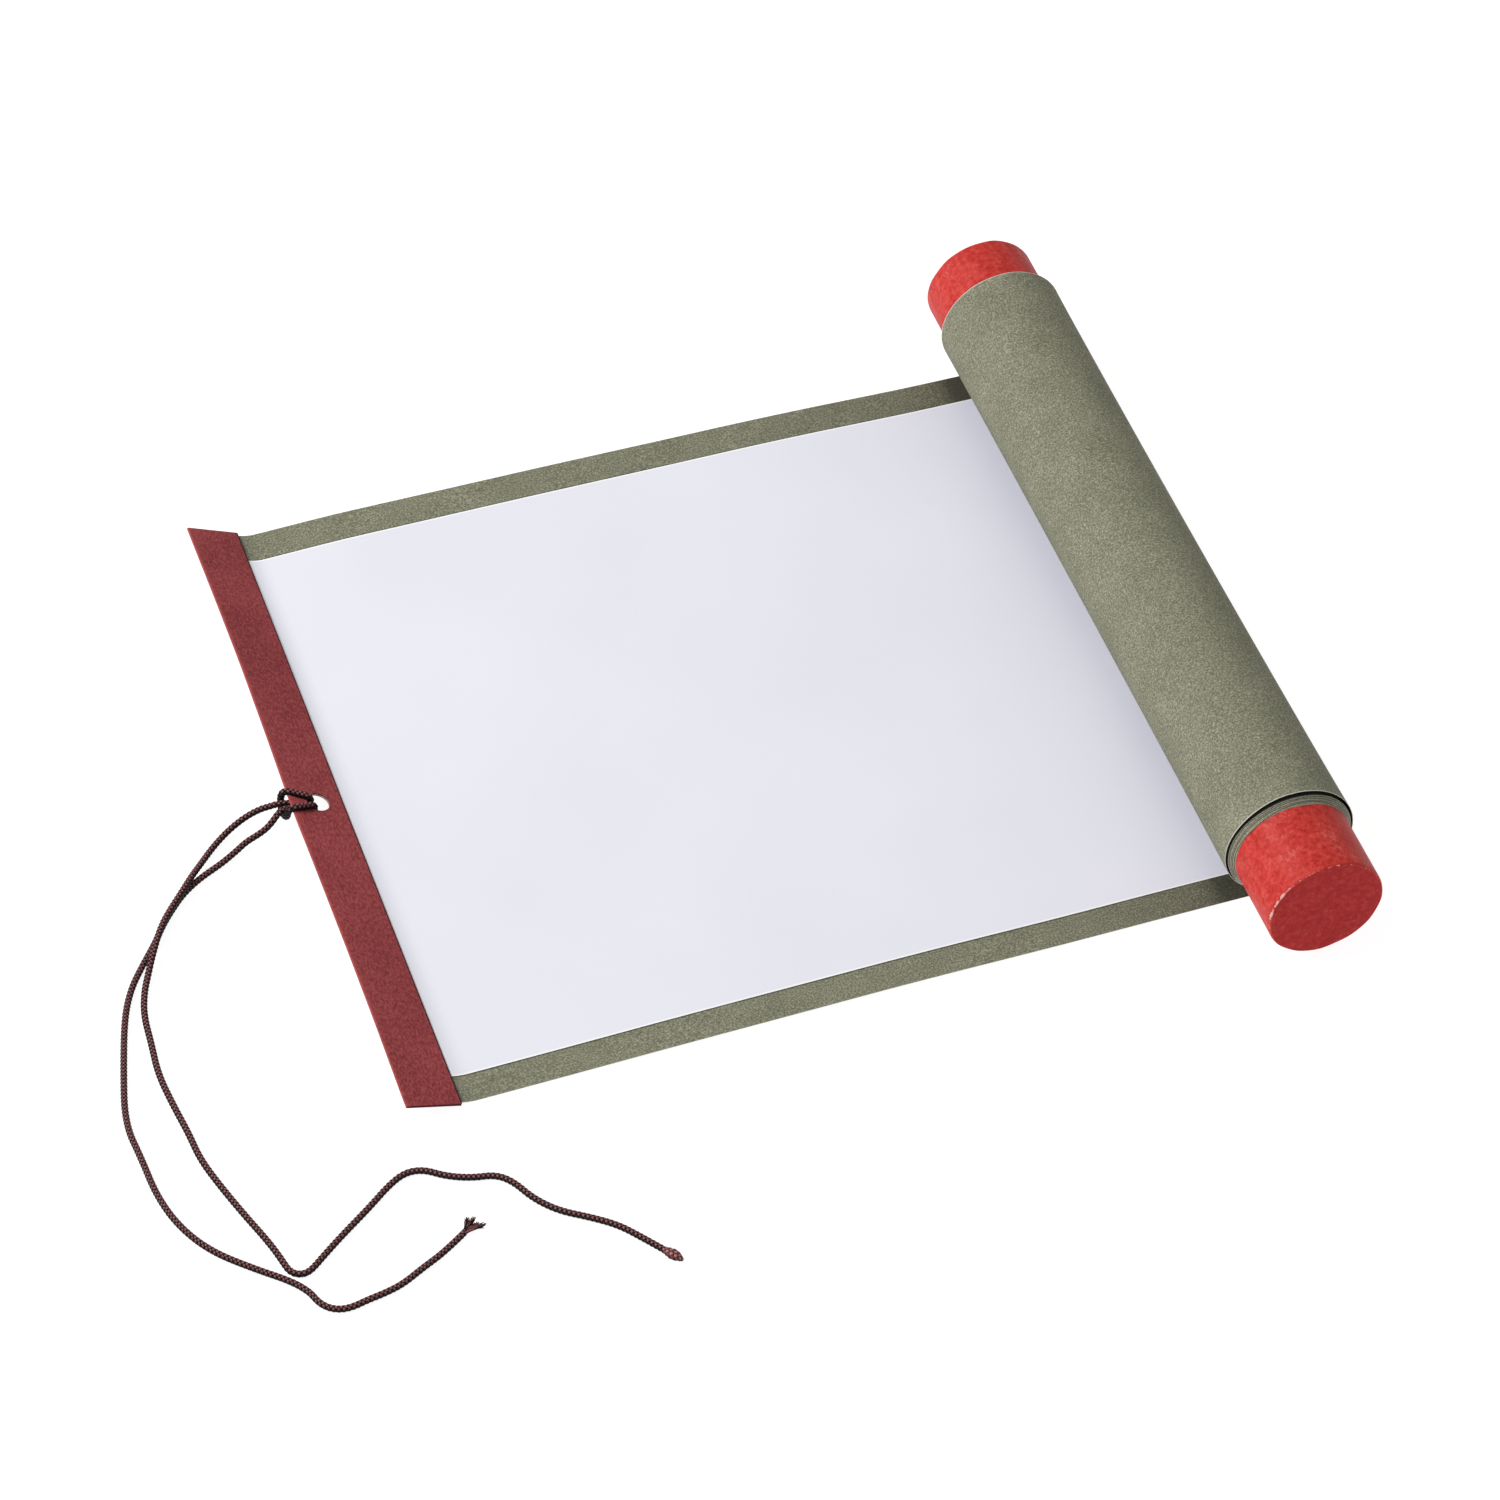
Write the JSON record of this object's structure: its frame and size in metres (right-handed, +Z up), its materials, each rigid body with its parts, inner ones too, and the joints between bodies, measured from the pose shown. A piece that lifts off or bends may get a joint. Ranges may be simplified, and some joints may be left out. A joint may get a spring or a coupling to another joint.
{
  "type": "picture scroll",
  "caption": "Blank picture scroll: white drawing paper on a backing sheet, wound on a painted wooden roller, with a folded end strip and a tie cord.",
  "frame": {"origin": "on the table, at the centre of the footprint of sheet, strip and roller, cord left out", "axes": "+Z up from the table, +X from the end strip towards the roll, +Y along the roller"},
  "size_m": [0.3084, 0.2795, 0.0341],
  "materials": {
    "painted_wood": "red paint, satin, with streaky mottling",
    "backing_paper": "grey-green paper with a fine grain",
    "drawing_paper": "matt white drawing paper",
    "strip_paper": "matt maroon card",
    "braided_cord": "dark brown round braid"
  },
  "bodies": {
    "root": {"roller": "painted_wood", "backing_sheet": "backing_paper", "drawing_paper": "drawing_paper", "end_strip": "strip_paper", "cord_hitch": "braided_cord", "cord_long_tail": "braided_cord", "cord_short_tail": "braided_cord", "cord_sealed_tip": "braided_cord", "cord_frayed_end": "braided_cord"}
  },
  "joints": []
}
